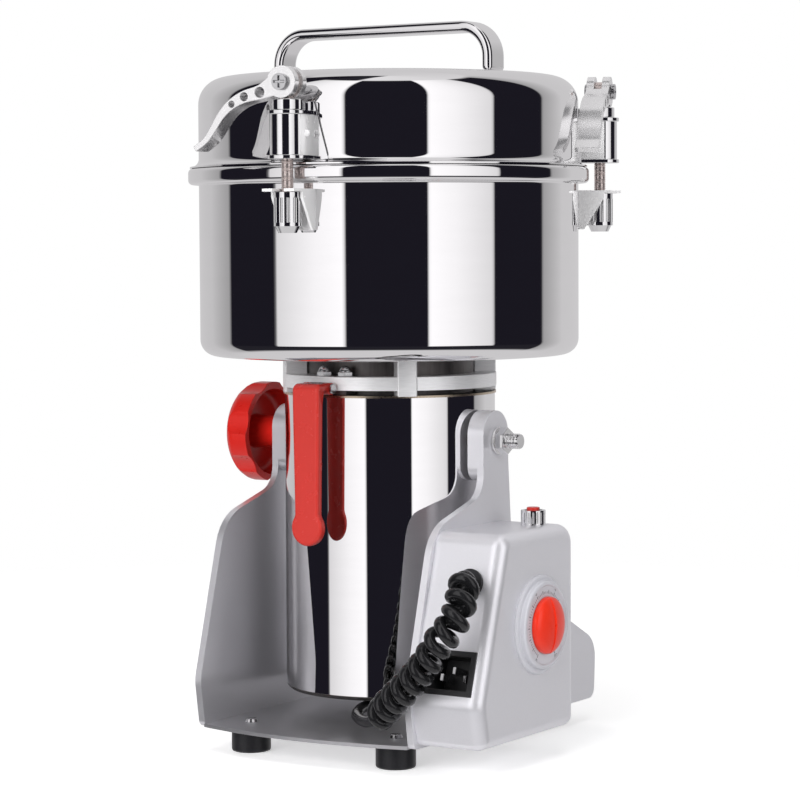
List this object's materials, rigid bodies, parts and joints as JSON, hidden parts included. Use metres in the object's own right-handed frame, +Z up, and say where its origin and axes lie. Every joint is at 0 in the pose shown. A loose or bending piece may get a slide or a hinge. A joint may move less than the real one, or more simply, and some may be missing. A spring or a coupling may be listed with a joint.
{
  "type": "electric spice grinder",
  "caption": "Swing-type electric spice grinder: polished grinding chamber with clamped lid and handle on a motor tube that tilts between the ears of a painted stand with a timer box.",
  "frame": {"origin": "on the floor under the middle of the whole outline, the curly cord left out", "axes": "+Z up, -Y to the front with the red lever, +X to the side with the control box"},
  "size_m": [0.2484, 0.2449, 0.4051],
  "materials": {
    "painted_silver": "satin silver-grey paint",
    "black_rubber": "soft sheen",
    "white_silicone": "matte",
    "zinc_steel": "zinc plated",
    "mirror_steel": "mirror polished",
    "bright_steel": "bright plated",
    "rod_steel": "threaded, plain",
    "cast_aluminium": "cast, dark",
    "brushed_aluminium": "turned",
    "core_steel": "laminated",
    "copper_wire": "varnished copper",
    "brass": "plain",
    "black_plastic": "moulded",
    "dial_grey": "satin",
    "red_plastic": "moulded, semi-gloss",
    "orange_plastic": "moulded, semi-gloss"
  },
  "bodies": {
    "stand": {"base_plate": "painted_silver", "left_side_plate": "painted_silver", "right_side_plate": "painted_silver", "feet": "black_rubber", "foot_screws": "zinc_steel", "control_box": "painted_silver", "dial_plate": "dial_grey", "timer_body": "black_plastic", "breaker_body": "black_plastic", "breaker_nut": "bright_steel", "inlet_socket": "black_plastic", "inlet_pins": "zinc_steel", "cord_gland": "black_rubber", "coil_cord": "black_rubber"},
    "head": {"motor_shell": "mirror_steel", "motor_cap": "cast_aluminium", "motor_gland": "black_rubber", "head_plate": "cast_aluminium", "stator_core": "core_steel", "stator_windings": "copper_wire", "bearings": "zinc_steel", "brush_holders": "brass", "pivot_bosses": "cast_aluminium", "pivot_studs": "zinc_steel", "pivot_washers": "zinc_steel", "pivot_nut": "zinc_steel", "neck_hub": "cast_aluminium", "flange_ring": "brushed_aluminium", "standoff_posts": "brushed_aluminium", "lever_bracket": "cast_aluminium", "bracket_bolts": "zinc_steel", "lever_pin": "zinc_steel", "chamber": "mirror_steel", "shaft_seal": "black_rubber", "lid": "mirror_steel", "lid_wall": "mirror_steel", "lid_seal": "white_silicone", "lid_handle": "mirror_steel", "lid_saddles": "bright_steel", "cam_bushes": "bright_steel", "clamp_rods": "rod_steel", "cam_screws": "zinc_steel", "clamp_brackets": "bright_steel"},
    "rotor": {"rotor_shaft": "zinc_steel", "rotor_core": "core_steel", "commutator": "copper_wire", "cooling_fan": "black_plastic", "blades": "bright_steel", "blade_spacers": "zinc_steel", "blade_nut": "zinc_steel"},
    "lever_front": {"lever_front": "bright_steel"},
    "lever_right": {"lever_right": "bright_steel"},
    "lever_left": {"lever_left": "bright_steel"},
    "nut_front": {"nut_front": "bright_steel"},
    "nut_right": {"nut_right": "bright_steel"},
    "nut_left": {"nut_left": "bright_steel"},
    "star_knob": {"star_knob": "red_plastic"},
    "release_lever": {"release_lever": "red_plastic"},
    "timer_knob": {"timer_knob": "orange_plastic"},
    "reset_button": {"reset_button": "red_plastic"}
  },
  "joints": [
    {"name": "head_swing", "type": "hinge", "parent": "stand", "child": "head", "pos_m": [-0.00029, 0.00945, 0.1733], "axis": [1, 0, 0], "range_deg": [-90, 0], "deforming": ["coil_cord"]},
    {"name": "rotor_spin", "type": "hinge", "parent": "head", "child": "rotor", "pos_m": [-0.00029, 0.00945, 0.15], "axis": [0, 0, 1], "continuous": true},
    {"name": "front_lever_turn", "type": "hinge", "parent": "head", "child": "lever_front", "pos_m": [0.01332, -0.10998, 0.3677], "axis": [-0.1132, 0.9936, 0], "range_deg": [0, 150]},
    {"name": "right_lever_turn", "type": "hinge", "parent": "head", "child": "lever_right", "pos_m": [0.09633, 0.08095, 0.3677], "axis": [-0.9367, -0.3502, 0], "range_deg": [0, 150]},
    {"name": "left_lever_turn", "type": "hinge", "parent": "head", "child": "lever_left", "pos_m": [-0.11052, 0.05738, 0.3677], "axis": [0.9171, -0.3987, 0], "range_deg": [0, 150]},
    {"name": "front_nut_turn", "type": "hinge", "parent": "head", "child": "nut_front", "pos_m": [0.01332, -0.10998, 0.296], "axis": [0, 0, 1], "continuous": true},
    {"name": "right_nut_turn", "type": "hinge", "parent": "head", "child": "nut_right", "pos_m": [0.09633, 0.08095, 0.296], "axis": [0, 0, 1], "continuous": true},
    {"name": "left_nut_turn", "type": "hinge", "parent": "head", "child": "nut_left", "pos_m": [-0.11052, 0.05738, 0.296], "axis": [0, 0, 1], "continuous": true},
    {"name": "star_knob_turn", "type": "hinge", "parent": "head", "child": "star_knob", "pos_m": [-0.08529, 0.00945, 0.1733], "axis": [-1, 0, 0], "continuous": true},
    {"name": "release_lever_swing", "type": "hinge", "parent": "head", "child": "release_lever", "pos_m": [-0.00559, -0.05505, 0.2035], "axis": [-1, 0, 0], "range_deg": [0, 45]},
    {"name": "timer_knob_turn", "type": "hinge", "parent": "stand", "child": "timer_knob", "pos_m": [0.11771, -0.01805, 0.077], "axis": [1, 0, 0], "range_deg": [0, 300]},
    {"name": "reset_button_press", "type": "slide", "parent": "stand", "child": "reset_button", "axis": [0, 0, -1], "range_m": [0, 0.003], "stiffness_N_per_m": 300}
  ]
}
